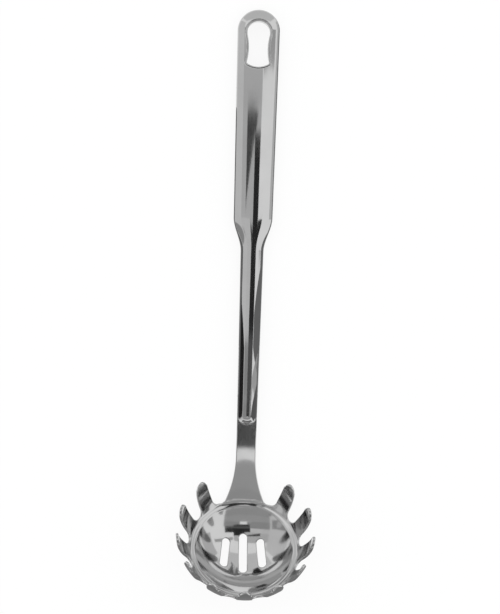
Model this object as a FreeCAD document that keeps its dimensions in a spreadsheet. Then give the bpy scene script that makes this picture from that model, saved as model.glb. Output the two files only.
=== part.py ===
"""A stainless steel pasta server: a pressed head welded into a hollow handle.

The head is one stamping of sheet steel with a bowl, eleven tines, three drain slots, a neck and a tang.
The handle is two pressed half shells, front and back, that meet along the edge seam and straddle the tang.
A short sleeve lines the hanging hole between the two shells.

Lengths run along Y, from the crease where the neck meets the bowl (y = 0) up to the hanging end.
X runs across the handle, and Z points out of the front of the bowl. The seam of the handle is the plane z = 0.
At the end every piece is moved so that the server lies on its back, with the middle of its box at the origin.
"""
import FreeCAD
import Part
import Sketcher

import math
import os

Vector = FreeCAD.Vector

# Driving dimensions in millimetres, counts and degrees
DIMENSIONS = {
    # Handle, along its length
    "neck_length": 44.5,          # crease to the tip of the handle's nose
    "shaft_length": 99.0,         # nose tip to the foot of the shoulder
    "shoulder_length": 19.0,
    "grip_length": 106.0,         # shoulder to the centre of the round end
    # Handle, across
    "grip_width_end": 23.9,
    "grip_width_shoulder": 22.0,
    "shaft_width_top": 13.1,
    "shaft_width_foot": 11.5,
    "crown_height": 5.0,          # seam to crown, on each side
    "crown_height_foot": 4.4,
    "edge_radius": 2.0,
    "nose_length": 5.5,
    "shell_wall": 0.8,
    # Hanging hole, an hourglass below the round end
    "hole_top_radius": 6.45,
    "hole_top_drop": 1.3,         # centre of the round end down to the centre of the hole's top arc
    "hole_waist_width": 10.8,
    "hole_waist_drop": 10.3,
    "hole_corner_drop": 18.6,
    "hole_sag": 2.0,              # how far the hole's lower edge dips between its corners
    "hole_corner_radius": 1.1,
    "liner_wall": 1.1,
    "liner_clearance": 0.1,
    "liner_set_back": 0.15,       # rim of the liner below the crown beside the hole
    "liner_edge_break": 0.35,
    # Neck and tang
    "sheet": 1.5,
    "neck_width": 11.2,
    "neck_flare_start": 27.0,     # above the crease
    "neck_bend_start": 34.0,
    "tang_seat": 16.0,            # nose tip to the end of the full width tang
    "tang_length": 62.0,          # nose tip to the end of the narrow tang
    "tang_width": 7.0,
    # Bowl
    "bowl_tilt": 34.5,            # degrees between the bowl's axis and Z
    "bowl_radius": 27.0,
    "bowl_depth": 12.4,
    "rim_round": 3.0,
    "rim_flat_angle": 10.0,       # degrees, slope of the ledge where its two rounds meet
    # Tines
    "tine_count": 11,
    "tine_pitch": 27.8,           # degrees
    "root_radius": 30.6,          # axis of the bowl to the bottom of the gaps
    "tip_radius": 37.4,
    "tine_rise": 20.8,
    "tine_curl": 19.0,            # degrees the tine leans out more at its root, and less at its tip
    "tine_width_root": 7.8,
    "tine_width_tip": 6.2,
    "tip_fullness": 1.04,         # width of the rounded tip at its foot over the tine's width at the tip
    "tip_length": 4.9,            # foot of the rounded tip to its top
    "tip_nose_radius": 1.9,
    # Drain slots
    "slot_width": 4.4,
    "slot_length": 23.1,
    "side_slot_width": 4.2,
    "side_slot_length": 17.0,
    "side_slot_offset": 10.2,
    "side_slot_fan": 5.5,         # degrees
    "slot_shift": 3.0,            # middle of the slots towards the neck from the bowl's axis
}

# Stations along a curved stretch of the handle and of the neck
SHOULDER_STEPS = 5
NOSE_STEPS = 5
NECK_STEPS = 5
# Degrees around the nose, from its start, at its last section short of the tip
NOSE_LAST_ANGLE = 80.0
# Dish of the neck's first section, next to flat, as a share of the sheet
FLAT_DISH = 0.005

doc = FreeCAD.newDocument("pasta_server")


def make_sheet():
    """Spreadsheet with one named cell for each driving dimension."""
    cells = doc.addObject("Spreadsheet::Sheet", "Sizes")
    for row, (alias, number) in enumerate(DIMENSIONS.items(), start=1):
        cells.set(f"A{row}", alias)
        cells.set(f"B{row}", str(number))
        cells.setAlias(f"B{row}", alias)
    doc.recompute()
    return cells


sizes = make_sheet()


def size(alias):
    """Number that the sheet holds under a name."""
    return float(sizes.get(alias))


def measure(terms):
    """Value of a sum of sheet sizes, given as {name: factor}."""
    return sum(factor * size(alias) for alias, factor in terms.items())


def formula(terms):
    """The same sum as an expression on the sheet."""
    return " + ".join(f"{factor!r} * Sizes.{alias}" for alias, factor in terms.items())


def scaled(terms, factor):
    return {alias: factor * share for alias, share in terms.items()}


def added(first, second):
    return {alias: first.get(alias, 0.0) + second.get(alias, 0.0) for alias in {**first, **second}}


def origin_part(body, role):
    """Origin plane or axis of a body, by its role."""
    for feature in body.Origin.OriginFeatures:
        if feature.Role == role:
            return feature
    raise ValueError(role)


def new_body(name):
    body = doc.addObject("PartDesign::Body", name)
    body.Label = name
    return body


def new_sketch(body, name, role, offset=None):
    """Sketch on one of the body's own origin planes, moved by an offset from it."""
    sketch = body.newObject("Sketcher::SketchObject", name)
    sketch.AttachmentSupport = (origin_part(body, role), [""])
    sketch.MapMode = "FlatFace"
    if offset is not None:
        sketch.AttachmentOffset = offset
    return sketch


def bind(sketch, name, constraint, expression):
    """Add a named dimension to a sketch and tie it to the sheet."""
    index = sketch.addConstraint(constraint)
    sketch.renameConstraint(index, name)
    sketch.setExpression(f"Constraints.{name}", expression)


def line(start, end):
    return Part.LineSegment(Vector(*start, 0), Vector(*end, 0))


def arc(start, middle, end):
    return Part.Arc(Vector(*start, 0), Vector(*middle, 0), Vector(*end, 0))


def on_circle(centre, radius, degrees):
    turn = math.radians(degrees)
    return (centre[0] + radius * math.cos(turn), centre[1] + radius * math.sin(turn))


def arc_about(centre, radius, start_degrees, end_degrees):
    """Arc about a centre, from one angle to another either way round."""
    middle = (start_degrees + end_degrees) / 2
    return arc(on_circle(centre, radius, start_degrees), on_circle(centre, radius, middle),
               on_circle(centre, radius, end_degrees))


def draw_closed(sketch, curves):
    """Add curves that follow each other end to end, and join each end to the next start.

    An arc that runs clockwise is stored the other way round, so the joined ends are found by their places.
    """
    places = [sketch.addGeometry(curve, False) for curve in curves]
    for here, there in zip(places, places[1:] + places[:1]):
        pairs = [(a, b) for a in (1, 2) for b in (1, 2)]
        nearest = min(pairs, key=lambda pair: (sketch.getPoint(here, pair[0])
                                               - sketch.getPoint(there, pair[1])).Length)
        sketch.addConstraint(Sketcher.Constraint("Coincident", here, nearest[0], there, nearest[1]))


def pad(body, sketch, expression, both_sides=False):
    feature = body.newObject("PartDesign::Pad", f"{sketch.Name}_pad")
    feature.Profile = sketch
    feature.setExpression("Length", expression)
    feature.Midplane = both_sides
    return feature


def pocket(body, sketch, expression, both_sides=False):
    feature = body.newObject("PartDesign::Pocket", f"{sketch.Name}_pocket")
    feature.Profile = sketch
    feature.setExpression("Length", expression)
    feature.Midplane = both_sides
    return feature


def polar_pattern(body, feature, count, extent):
    """Copies of a cut about the bowl's axis, spread over an angle in degrees."""
    pattern = body.newObject("PartDesign::PolarPattern", f"{feature.Name}_pattern")
    pattern.Originals = [feature]
    pattern.Axis = (origin_part(body, "Z_Axis"), [""])
    pattern.setExpression("Occurrences", count)
    pattern.setExpression("Angle", extent)
    body.Tip = pattern
    return pattern


def cut(name, base, tool):
    feature = doc.addObject("Part::Cut", name)
    feature.Base = base
    feature.Tool = tool
    feature.Label = name
    return feature


# Places along the handle, as sums of sheet sizes
NOSE_TIP = {"neck_length": 1.0}
NOSE_START = added(NOSE_TIP, {"nose_length": 1.0})
SHOULDER_FOOT = added(NOSE_TIP, {"shaft_length": 1.0})
SHOULDER_TOP = added(SHOULDER_FOOT, {"shoulder_length": 1.0})
END_CENTRE = added(SHOULDER_TOP, {"grip_length": 1.0})


def crown_radius(half_width, height, edge):
    """Radius of the crown arc that runs tangent into the two edge arcs of a section."""
    reach = half_width - edge
    return (height ** 2 + reach ** 2 - edge ** 2) / (2 * (height - edge))


def section_shape(half_width, height, edge):
    """Crown radius, and the angle above the seam at which each edge arc meets the crown."""
    radius = crown_radius(half_width, height, edge)
    turn = math.degrees(math.atan2(radius - height, half_width - edge))
    return radius, turn


def dome_section(body, name, station, half_width, height, edge, half_only=False):
    """Sketch of the handle's section at a station: two edge arcs and a crown arc over the seam.

    With half_only it holds the half beside the Z axis, which is turned to make the round end.
    """
    sketch = new_sketch(body, name, "XZ_Plane")
    sketch.setExpression("AttachmentOffset.Base.z", f"-({formula(station)})")
    wide, tall, round_edge = measure(half_width), measure(height), measure(edge)
    radius, turn = section_shape(wide, tall, round_edge)
    right = arc_about((wide - round_edge, 0), round_edge, 0, turn)
    if half_only:
        crown = arc_about((0, tall - radius), radius, turn, 90)
        curves = [right, crown, line((0, tall), (0, 0)), line((0, 0), (wide, 0))]
    else:
        crown = arc_about((0, tall - radius), radius, turn, 180 - turn)
        left = arc_about((round_edge - wide, 0), round_edge, 180 - turn, 180)
        curves = [right, crown, left, line((-wide, 0), (wide, 0))]
    draw_closed(sketch, curves)
    seat = len(curves) - 1
    sketch.addConstraint(Sketcher.Constraint("PointOnObject", seat, 2, -1))
    sketch.addConstraint(Sketcher.Constraint("PointOnObject", seat, 1, -1))
    bind(sketch, "half_width", Sketcher.Constraint("DistanceX", -1, 1, seat, 2, wide), formula(half_width))
    bind(sketch, "edge_radius", Sketcher.Constraint("Radius", 0, round_edge), formula(edge))
    return sketch


def loft(body, name, sections, straight):
    feature = body.newObject("PartDesign::AdditiveLoft", name)
    feature.Profile = sections[0]
    feature.Sections = sections[1:]
    feature.Ruled = straight
    return feature


def half_width_at(width_terms, inset):
    return added(scaled(width_terms, 0.5), {"shell_wall": -inset})


def smooth_step(share):
    return share * share * (3 - 2 * share)


def dome_body(name, inset):
    """Half of the handle as a solid dome, drawn in by a number of shell walls on every side."""
    body = new_body(name)
    edge = {"edge_radius": 1.0, "shell_wall": -inset}
    top = {"crown_height": 1.0, "shell_wall": -inset}
    foot = {"crown_height_foot": 1.0, "shell_wall": -inset}
    grip_end = half_width_at({"grip_width_end": 1.0}, inset)
    grip_low = half_width_at({"grip_width_shoulder": 1.0}, inset)
    shaft_top = half_width_at({"shaft_width_top": 1.0}, inset)
    shaft_foot = half_width_at({"shaft_width_foot": 1.0}, inset)

    half = dome_section(body, f"{name}_end_half", END_CENTRE, grip_end, top, edge, half_only=True)
    round_end = body.newObject("PartDesign::Revolution", f"{name}_round_end")
    round_end.Profile = half
    round_end.ReferenceAxis = (half, ["V_Axis"])
    round_end.Angle = 180

    grip = [dome_section(body, f"{name}_grip_end", END_CENTRE, grip_end, top, edge)]
    shoulder = []
    for step in range(SHOULDER_STEPS + 1):
        share = step / SHOULDER_STEPS
        blend = smooth_step(share)
        station = added(SHOULDER_TOP, {"shoulder_length": -share})
        width = added(scaled(grip_low, 1 - blend), scaled(shaft_top, blend))
        shoulder.append(dome_section(body, f"{name}_shoulder_{step}", station, width, top, edge))
    nose = []
    for step in range(NOSE_STEPS + 1):
        turn = math.radians(NOSE_LAST_ANGLE * step / NOSE_STEPS)
        share, factor = math.sin(turn), math.cos(turn)
        station = added(NOSE_START, {"nose_length": -share, "shell_wall": inset * share})
        nose.append(dome_section(body, f"{name}_nose_{step}", station, scaled(shaft_foot, factor),
                                 scaled(foot, factor), scaled(edge, factor)))
    grip.append(shoulder[0])
    loft(body, f"{name}_grip", grip, True)
    loft(body, f"{name}_shoulder", shoulder, False)
    loft(body, f"{name}_shaft", [shoulder[-1], nose[0]], True)
    loft(body, f"{name}_nose", nose, False)
    return body


def circles_meet(first, first_radius, second, second_radius, side):
    """Point where two circles cross, on the given side of the line between their centres."""
    gap = math.dist(first, second)
    along = (gap ** 2 + first_radius ** 2 - second_radius ** 2) / (2 * gap)
    across = math.sqrt(first_radius ** 2 - along ** 2)
    ux, uy = (second[0] - first[0]) / gap, (second[1] - first[1]) / gap
    return (first[0] + along * ux - side * across * uy, first[1] + along * uy + side * across * ux)


def angle_of(centre, point):
    return math.degrees(math.atan2(point[1] - centre[1], point[0] - centre[0]))


def hole_body(name, grown):
    """Solid of the hanging hole, an hourglass of four arcs, grown outwards by some sheet sizes."""
    body = new_body(name)
    spread = measure(grown)
    top_radius, waist = size("hole_top_radius"), size("hole_waist_width") / 2
    top = (0.0, -size("hole_top_drop"))
    waist_y, corner_y = -size("hole_waist_drop"), -size("hole_corner_drop")
    # The side arcs bulge inwards and run tangent into the top arc
    side_radius = ((top[1] - waist_y) ** 2 + waist ** 2 - top_radius ** 2) / (2 * (top_radius - waist))
    side = (waist + side_radius, waist_y)
    corner_x = side[0] - math.sqrt(side_radius ** 2 - (corner_y - waist_y) ** 2)
    low_radius = (corner_x ** 2 + size("hole_sag") ** 2) / (2 * size("hole_sag"))
    low = (0.0, corner_y - size("hole_sag") + low_radius)

    join = angle_of(top, side)
    corner = circles_meet(side, side_radius - spread, low, low_radius + spread, 1)
    if corner[1] > low[1]:
        corner = circles_meet(side, side_radius - spread, low, low_radius + spread, -1)
    side_end = angle_of(side, corner) % 360
    low_end = angle_of(low, corner)

    sketch = new_sketch(body, f"{name}_outline", "XY_Plane")
    sketch.setExpression("AttachmentOffset.Base.y", formula(END_CENTRE))
    other_side = (-side[0], side[1])
    draw_closed(sketch, [
        arc_about(top, top_radius + spread, join, 180 - join),
        arc_about(other_side, side_radius - spread, -join, 180 - side_end),
        arc_about(low, low_radius + spread, -180 - low_end, low_end),
        arc_about(side, side_radius - spread, side_end, 180 + join),
    ])
    bind(sketch, "top_radius", Sketcher.Constraint("Radius", 0, top_radius + spread),
         formula(added({"hole_top_radius": 1.0}, grown)))
    block = pad(body, sketch, "4 * Sizes.crown_height", both_sides=True)
    doc.recompute()

    # Both lower corners of the hourglass are rounded
    corners = [f"Edge{number}" for number, edge in enumerate(block.Shape.Edges, start=1)
               if abs(edge.tangentAt(edge.FirstParameter).z) > 0.99
               and abs(abs(edge.CenterOfMass.x) - corner[0]) < spread + 0.5
               and edge.CenterOfMass.y < measure(END_CENTRE) + (waist_y + corner_y) / 2]
    rounding = body.newObject("PartDesign::Fillet", f"{name}_corners")
    rounding.Base = (block, corners)
    rounding.setExpression("Radius", formula(added({"hole_corner_radius": 1.0}, grown)))
    return body


def crown_beside_hole():
    """Height of the handle's crown over the side of the hanging hole, where it is lowest."""
    radius, _ = section_shape(size("grip_width_end") / 2, size("crown_height"), size("edge_radius"))
    reach = size("hole_top_radius") + size("liner_wall")
    return size("crown_height") - radius + math.sqrt(radius ** 2 - reach ** 2)


def make_liner():
    """Sleeve in the hanging hole, with broken edges at its rims, just below the crowns of the shells."""
    outside = hole_body("liner_outside", {"liner_wall": 1.0})
    inside = hole_body("liner_inside", {})
    sleeve = cut("liner_sleeve", outside, inside)
    band = doc.addObject("Part::Box", "liner_band")
    half_height = crown_beside_hole() - size("liner_set_back")
    across = 2 * size("grip_width_end")
    band.Length = across
    band.Width = 2 * across
    band.Height = 2 * half_height
    band.Placement.Base = Vector(-across / 2, measure(END_CENTRE) - across, -half_height)
    trimmed = doc.addObject("Part::Common", "liner_trimmed")
    trimmed.Base = sleeve
    trimmed.Tool = band
    doc.recompute()
    rims = [number for number, edge in enumerate(trimmed.Shape.Edges, start=1)
            if abs(abs(edge.CenterOfMass.z) - half_height) < 1e-6]
    liner = doc.addObject("Part::Chamfer", "hanging_hole_liner")
    liner.Base = trimmed
    edge_break = size("liner_edge_break")
    liner.Edges = [(number, edge_break, edge_break) for number in rims]
    return liner


def make_shells():
    """Front and back half shells: hollow domes with the hanging hole and a seat for the tang."""
    hollow = cut("front_hollow", dome_body("shell_outside", 0), dome_body("shell_inside", 1))
    holed = cut("front_holed", hollow, hole_body("shell_hole", {"liner_wall": 1.0, "liner_clearance": 1.0}))
    seat = doc.addObject("Part::Box", "tang_seat")
    seat.setExpression("Length", "2 * Sizes.shaft_width_top")
    seat.setExpression("Width", "Sizes.neck_length + Sizes.tang_seat")
    seat.setExpression("Height", "Sizes.sheet")
    seat.setExpression("Placement.Base.x", "-Sizes.shaft_width_top")
    seat.setExpression("Placement.Base.z", "-Sizes.sheet / 2")
    mirrored = doc.addObject("Part::Mirroring", "back_holed")
    mirrored.Source = holed
    mirrored.Normal = Vector(0, 0, 1)
    return cut("handle_front_shell", holed, seat), cut("handle_back_shell", mirrored, seat)


def bowl_sphere():
    """Radius of the bowl's inside, and the height of its centre over the plane of the bowl's edge."""
    radius = (size("bowl_radius") ** 2 + size("bowl_depth") ** 2) / (2 * size("bowl_depth"))
    return radius, radius - size("bowl_depth")


def head_meridian():
    """Arcs of the head's upper face, in the plane of the bowl's axis, from the bottom of the bowl to a tip.

    Each is (centre, radius, start angle, end angle, side), where side is 1 if the sheet lies outside the arc.
    The bowl's edge lies at height 0.
    """
    inside, centre_height = bowl_sphere()
    slope = math.degrees(math.asin(size("bowl_radius") / inside))
    bowl = ((0.0, centre_height), inside, -90.0, slope - 90, 1)

    # The rim rounds over from the wall's slope to the ledge's slope
    flat = size("rim_flat_angle")
    over = size("rim_round")
    start = on_circle(bowl[0], inside, slope - 90)
    over_centre = on_circle(start, over, slope - 90)
    rim = (over_centre, over, slope + 90, flat + 90, -1)

    # Then it sweeps up into the root of the tine
    chord_slope = math.degrees(math.atan2(size("tine_rise"), size("tip_radius") - size("root_radius")))
    root_slope = chord_slope - size("tine_curl")
    tip_slope = chord_slope + size("tine_curl")
    ledge = on_circle(over_centre, over, flat + 90)
    sweep = (size("root_radius") - ledge[0]) / (math.sin(math.radians(root_slope)) - math.sin(math.radians(flat)))
    sweep_centre = on_circle(ledge, sweep, flat + 90)
    root = (sweep_centre, sweep, flat - 90, root_slope - 90, 1)

    foot = on_circle(sweep_centre, sweep, root_slope - 90)
    chord = math.hypot(size("tine_rise"), size("tip_radius") - size("root_radius"))
    curl = chord / (2 * math.sin(math.radians(size("tine_curl"))))
    curl_centre = on_circle(foot, curl, root_slope + 90)
    tine = (curl_centre, curl, root_slope - 90, tip_slope - 90, 1)
    return [bowl, rim, root, tine]


def meridian_end(index):
    """Radius and height at which an arc of the head's profile ends."""
    centre, radius, _, end, _ = head_meridian()[index]
    return on_circle(centre, radius, end)


def ledge_point():
    """Crown of the rim, where the crease of the neck runs into it."""
    return meridian_end(1)


def root_height():
    """Height of the bottom of the gaps over the bowl's edge."""
    return meridian_end(2)[1]


def tine_gap_reach(radius, width):
    """Distance from a gap's middle plane to the flank of the tine beside it."""
    half_pitch = math.radians(size("tine_pitch") / 2)
    return radius * math.sin(half_pitch) - width / 2 * math.cos(half_pitch)


def radial_sketch(body, name, turn):
    """Sketch upright on the bowl's axis that cuts outwards, turned about the axis from the neck's side."""
    return new_sketch(body, name, "XZ_Plane",
                      FreeCAD.Placement(Vector(), FreeCAD.Rotation(Vector(0, 1, 0), turn)))


def stadium(middle, length, width, lean):
    """Outline of a slot with round ends, leaning by some degrees from Y."""
    half = (length - width) / 2
    upper = on_circle(middle, half, 90 + lean)
    lower = on_circle(middle, half, 270 + lean)
    return [
        arc_about(upper, width / 2, lean, 180 + lean),
        line(on_circle(upper, width / 2, 180 + lean), on_circle(lower, width / 2, 180 + lean)),
        arc_about(lower, width / 2, 180 + lean, 360 + lean),
        line(on_circle(lower, width / 2, lean), on_circle(upper, width / 2, lean)),
    ]


def make_bowl():
    """Bowl and tines: the sheet's profile turned about the bowl's axis, then pierced and cut into tines."""
    body = new_body("bowl_and_tines")
    sheet = size("sheet")
    arcs = head_meridian()
    profile = new_sketch(body, "head_profile", "XZ_Plane")
    upper = [arc_about(centre, radius, start, end) for centre, radius, start, end, _ in arcs]
    lower = [arc_about(centre, radius + side * sheet, end, start) for centre, radius, start, end, side in arcs]
    centre, radius, _, tip_angle, _ = arcs[-1]
    tip_inner = on_circle(centre, radius, tip_angle)
    tip_outer = on_circle(centre, radius + sheet, tip_angle)
    bottom = -size("bowl_depth")
    draw_closed(profile, upper + [line(tip_inner, tip_outer)] + lower[::-1]
                + [line((0, bottom - sheet), (0, bottom))])
    inside = "(Sizes.bowl_radius ^ 2 + Sizes.bowl_depth ^ 2) / (2 * Sizes.bowl_depth)"
    bind(profile, "bowl_inside", Sketcher.Constraint("Radius", 0, arcs[0][1]), inside)
    bind(profile, "rim_round", Sketcher.Constraint("Radius", 1, arcs[1][1]), "Sizes.rim_round")
    turned = body.newObject("PartDesign::Revolution", "head_turned")
    turned.Profile = profile
    turned.ReferenceAxis = (profile, ["V_Axis"])
    turned.Angle = 360

    # Gaps between the tines, round at the bottom and wider towards the tips
    reach = "2 * Sizes.tip_radius"
    base = root_height()
    tip = base + size("tine_rise")
    gap_radius = tine_gap_reach(size("root_radius"), size("tine_width_root"))
    gap_top = tine_gap_reach(size("tip_radius"), size("tine_width_tip"))
    clear = size("tine_rise") / 4
    widening = (gap_top - gap_radius) / (tip - base - gap_radius)
    gap_mouth = gap_radius + widening * (tip + clear - base - gap_radius)
    first_gap = 180 - (size("tine_count") - 1) * size("tine_pitch") / 2 - size("tine_pitch") / 2
    gap = radial_sketch(body, "tine_gap", first_gap)
    shoulder = base + gap_radius
    draw_closed(gap, [
        arc_about((0, shoulder), gap_radius, 180, 360),
        line((gap_radius, shoulder), (gap_mouth, tip + clear)),
        line((gap_mouth, tip + clear), (-gap_mouth, tip + clear)),
        line((-gap_mouth, tip + clear), (-gap_radius, shoulder)),
    ])
    gap_cut = pocket(body, gap, reach)
    polar_pattern(body, gap_cut, "Sizes.tine_count + 1", "Sizes.tine_count * Sizes.tine_pitch")

    # The neck takes the place of the tines on its side
    neck_side = radial_sketch(body, "neck_side", 0)
    half_sector = math.radians(first_gap)
    far = size("tip_radius") * math.sin(half_sector)
    draw_closed(neck_side, [
        line((-far, base), (far, base)),
        line((far, base), (far, tip + clear)),
        line((far, tip + clear), (-far, tip + clear)),
        line((-far, tip + clear), (-far, base)),
    ])
    pocket(body, neck_side, reach)

    # Long round tips: a small nose between two flatter arcs that are tangent to it
    half_tip = size("tip_fullness") * size("tine_width_tip") / 2
    nose = size("tip_nose_radius")
    nose_up = size("tip_length") - nose
    flank = (half_tip ** 2 + nose_up ** 2 - nose ** 2) / (2 * (half_tip - nose))
    meet = math.degrees(math.atan2(nose_up, flank - half_tip))
    low = tip - size("tip_length")
    side = 2 * half_tip
    tip_cut = radial_sketch(body, "tine_tip", first_gap + size("tine_pitch") / 2)
    draw_closed(tip_cut, [
        arc_about((half_tip - flank, low), flank, 0, meet),
        arc_about((0, low + nose_up), nose, meet, 180 - meet),
        arc_about((flank - half_tip, low), flank, 180 - meet, 180),
        line((-half_tip, low), (-side, low)),
        line((-side, low), (-side, tip + clear)),
        line((-side, tip + clear), (side, tip + clear)),
        line((side, tip + clear), (side, low)),
        line((side, low), (half_tip, low)),
    ])
    bind(tip_cut, "tip_nose", Sketcher.Constraint("Radius", 1, nose), "Sizes.tip_nose_radius")
    rounded = pocket(body, tip_cut, reach)
    polar_pattern(body, rounded, "Sizes.tine_count", "(Sizes.tine_count - 1) * Sizes.tine_pitch")

    # One long slot down the middle and a shorter one each side, fanned from the neck
    slots = new_sketch(body, "drain_slots", "XY_Plane")
    middle = size("slot_shift")
    draw_closed(slots, stadium((0, middle), size("slot_length"), size("slot_width"), 0))
    bind(slots, "slot_end", Sketcher.Constraint("Radius", 0, size("slot_width") / 2), "Sizes.slot_width / 2")
    for hand in (-1, 1):
        draw_closed(slots, stadium((hand * size("side_slot_offset"), middle), size("side_slot_length"),
                                   size("side_slot_width"), hand * size("side_slot_fan")))
    pocket(body, slots, "4 * Sizes.bowl_depth", both_sides=True)
    return body


def bowl_place():
    """Placement of the bowl: its rim meets the neck at y = 0.

    Its height lets the back of the bowl and the back of the handle rest on one flat surface.
    """
    turn = FreeCAD.Rotation(Vector(1, 0, 0), -size("bowl_tilt"))
    inside, centre_height = bowl_sphere()
    lowest = turn.multVec(Vector(0, 0, centre_height)).z - inside - size("sheet")
    reach, height = ledge_point()
    crease = turn.multVec(Vector(0, reach, height))
    return FreeCAD.Placement(Vector(0, -crease.y, -size("crown_height") - lowest), turn)


def gap_beside_neck():
    """Bottom of the gap on the right of the neck, in the server's axes."""
    half_sector = math.radians(180 - size("tine_count") * size("tine_pitch") / 2)
    local = Vector(size("root_radius") * math.sin(half_sector), size("root_radius") * math.cos(half_sector),
                   root_height())
    return bowl_place().multVec(local)


def crease_point():
    """Middle of the crease between the neck and the bowl."""
    return bowl_place().multVec(Vector(0, *ledge_point()))


def neck_bend_radius():
    """Radius of the upper face of the neck, from the straight tang down to the crease."""
    drop = size("sheet") / 2 - crease_point().z
    return (size("neck_bend_start") ** 2 + drop ** 2) / (2 * drop)


def neck_height(y):
    """Height of the neck's upper face along its middle."""
    bend = neck_bend_radius()
    run = max(size("neck_bend_start") - y, 0.0)
    return size("sheet") / 2 - bend + math.sqrt(bend ** 2 - run ** 2)


def neck_plan():
    """Right half of the plan of the neck and tang, from the tang's end down to the gap beside the neck."""
    tang_end = size("neck_length") + size("tang_length")
    seat_end = size("neck_length") + size("tang_seat")
    half_neck, half_tang = size("neck_width") / 2, size("tang_width") / 2
    flare_start = size("neck_flare_start")
    gap_radius = tine_gap_reach(size("root_radius"), size("tine_width_root"))
    foot = gap_beside_neck()
    gap_centre = (foot.x, foot.y + gap_radius)
    # The flare is the arc that leaves the straight neck and runs tangent into the gap
    across, along = half_neck - gap_centre[0], flare_start - gap_centre[1]
    flare = (gap_radius ** 2 - across ** 2 - along ** 2) / (2 * (across + gap_radius))
    flare_centre = (half_neck + flare, flare_start)
    meet = angle_of(flare_centre, gap_centre) % 360
    return [
        line((0, tang_end), (half_tang, tang_end)),
        line((half_tang, tang_end), (half_tang, seat_end)),
        line((half_tang, seat_end), (half_neck, seat_end)),
        line((half_neck, seat_end), (half_neck, flare_start)),
        arc_about(flare_centre, flare, 180, meet),
        arc_about(gap_centre, gap_radius, meet, 270),
    ], (foot.x, foot.y)


def mirrored(curves):
    """The same curves on the other side of the Y axis, in the opposite order."""
    flipped = []
    for curve in curves[::-1]:
        copy = curve.copy()
        copy.mirror(Vector(), Vector(0, 1, 0))
        flipped.append(copy)
    return flipped


def neck_section(body, name, y, half_width, dish):
    """Section of the neck's sheet across the handle: a shallow dish of even thickness."""
    sketch = new_sketch(body, name, "XZ_Plane", FreeCAD.Placement(Vector(0, 0, -y), FreeCAD.Rotation()))
    top, sheet = neck_height(y), size("sheet")
    edge = top + dish
    draw_closed(sketch, [
        arc((-half_width, edge), (0, top), (half_width, edge)),
        line((half_width, edge), (half_width, edge - sheet)),
        arc((half_width, edge - sheet), (0, top - sheet), (-half_width, edge - sheet)),
        line((-half_width, edge - sheet), (-half_width, edge)),
    ])
    bind(sketch, "sheet", Sketcher.Constraint("DistanceY", 1, 2, 1, 1, sheet), "Sizes.sheet")
    return sketch


def make_neck():
    """Neck and tang: a strip straight down the handle, then bent back and dished to meet the bowl's rim."""
    body = new_body("neck_and_tang")
    right, foot = neck_plan()
    sheet = size("sheet")
    half_width = foot[0] + sheet
    root_dish = (gap_beside_neck().z - neck_height(foot[1])) * (half_width / foot[0]) ** 2
    # The strip runs on past the crease into the wall of the bowl
    low = foot[1] - sheet
    sections = []
    for step in range(NECK_STEPS + 1):
        share = step / NECK_STEPS
        y = size("neck_bend_start") + share * (low - size("neck_bend_start"))
        dish = FLAT_DISH * sheet + root_dish * smooth_step(share)
        sections.append(neck_section(body, f"neck_{step}", y, half_width, dish))
    tang_end = size("neck_length") + size("tang_length")
    straight = new_sketch(body, "tang_blank", "XY_Plane")
    bend = size("neck_bend_start")
    corners = [(-half_width, bend), (half_width, bend), (half_width, tang_end), (-half_width, tang_end)]
    draw_closed(straight, [line(a, b) for a, b in zip(corners, corners[1:] + corners[:1])])
    bind(straight, "tang_reach", Sketcher.Constraint("DistanceY", -1, 1, 1, 2, tang_end),
         "Sizes.neck_length + Sizes.tang_length")
    pad(body, straight, "Sizes.sheet", both_sides=True)
    loft(body, "neck_strip", sections, False)

    # Everything outside the plan of the neck is cut away
    plan = new_sketch(body, "neck_plan", "XY_Plane")
    below = low - sheet
    side = [line(foot, (foot[0], below)), line((foot[0], below), (0, below))]
    draw_closed(plan, right + side + mirrored(right + side))
    far = 4 * size("root_radius")
    frame = [(-far, -far), (far, -far), (far, tang_end + far), (-far, tang_end + far)]
    draw_closed(plan, [line(a, b) for a, b in zip(frame, frame[1:] + frame[:1])])
    pocket(body, plan, "4 * Sizes.root_radius", both_sides=True)
    return body


def make_head():
    """The whole stamping: bowl, tines, neck and tang in one piece of sheet."""
    bowl = make_bowl()
    bowl.Placement = bowl_place()
    hollow = doc.addObject("Part::Sphere", "bowl_hollow")
    inside, centre_height = bowl_sphere()
    hollow.Radius = inside
    hollow.Placement.Base = bowl_place().multVec(Vector(0, 0, centre_height))
    trimmed = cut("neck_to_bowl", make_neck(), hollow)
    head = doc.addObject("Part::Fuse", "server_head")
    head.Base = bowl
    head.Tool = trimmed
    head.Refine = True
    return head


def check(pieces):
    """Stop if any feature failed, or if a piece is not one sound solid."""
    failed = [thing.Name for thing in doc.Objects if {"Invalid", "Error"} & set(thing.State)]
    if failed:
        raise RuntimeError(f"these failed: {failed}")
    for piece in pieces:
        if piece.Shape.isNull() or not piece.Shape.isValid():
            raise RuntimeError(f"{piece.Label} has no sound shape")
        if len(piece.Shape.Solids) != 1:
            raise RuntimeError(f"{piece.Label} holds {len(piece.Shape.Solids)} solids")


head = make_head()
front_shell, back_shell = make_shells()
liner = make_liner()
pieces = [head, front_shell, back_shell, liner]
for piece in pieces:
    piece.Label = piece.Name
doc.recompute()
check(pieces)

# The server lies on its back, with the middle of its box over the origin
box = FreeCAD.BoundBox()
for piece in pieces:
    box.add(piece.Shape.optimalBoundingBox(False, False))
rest = Vector(-box.Center.x, -box.Center.y, -box.ZMin)
for piece in pieces:
    piece.Placement = FreeCAD.Placement(rest, FreeCAD.Rotation())
doc.recompute()

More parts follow.
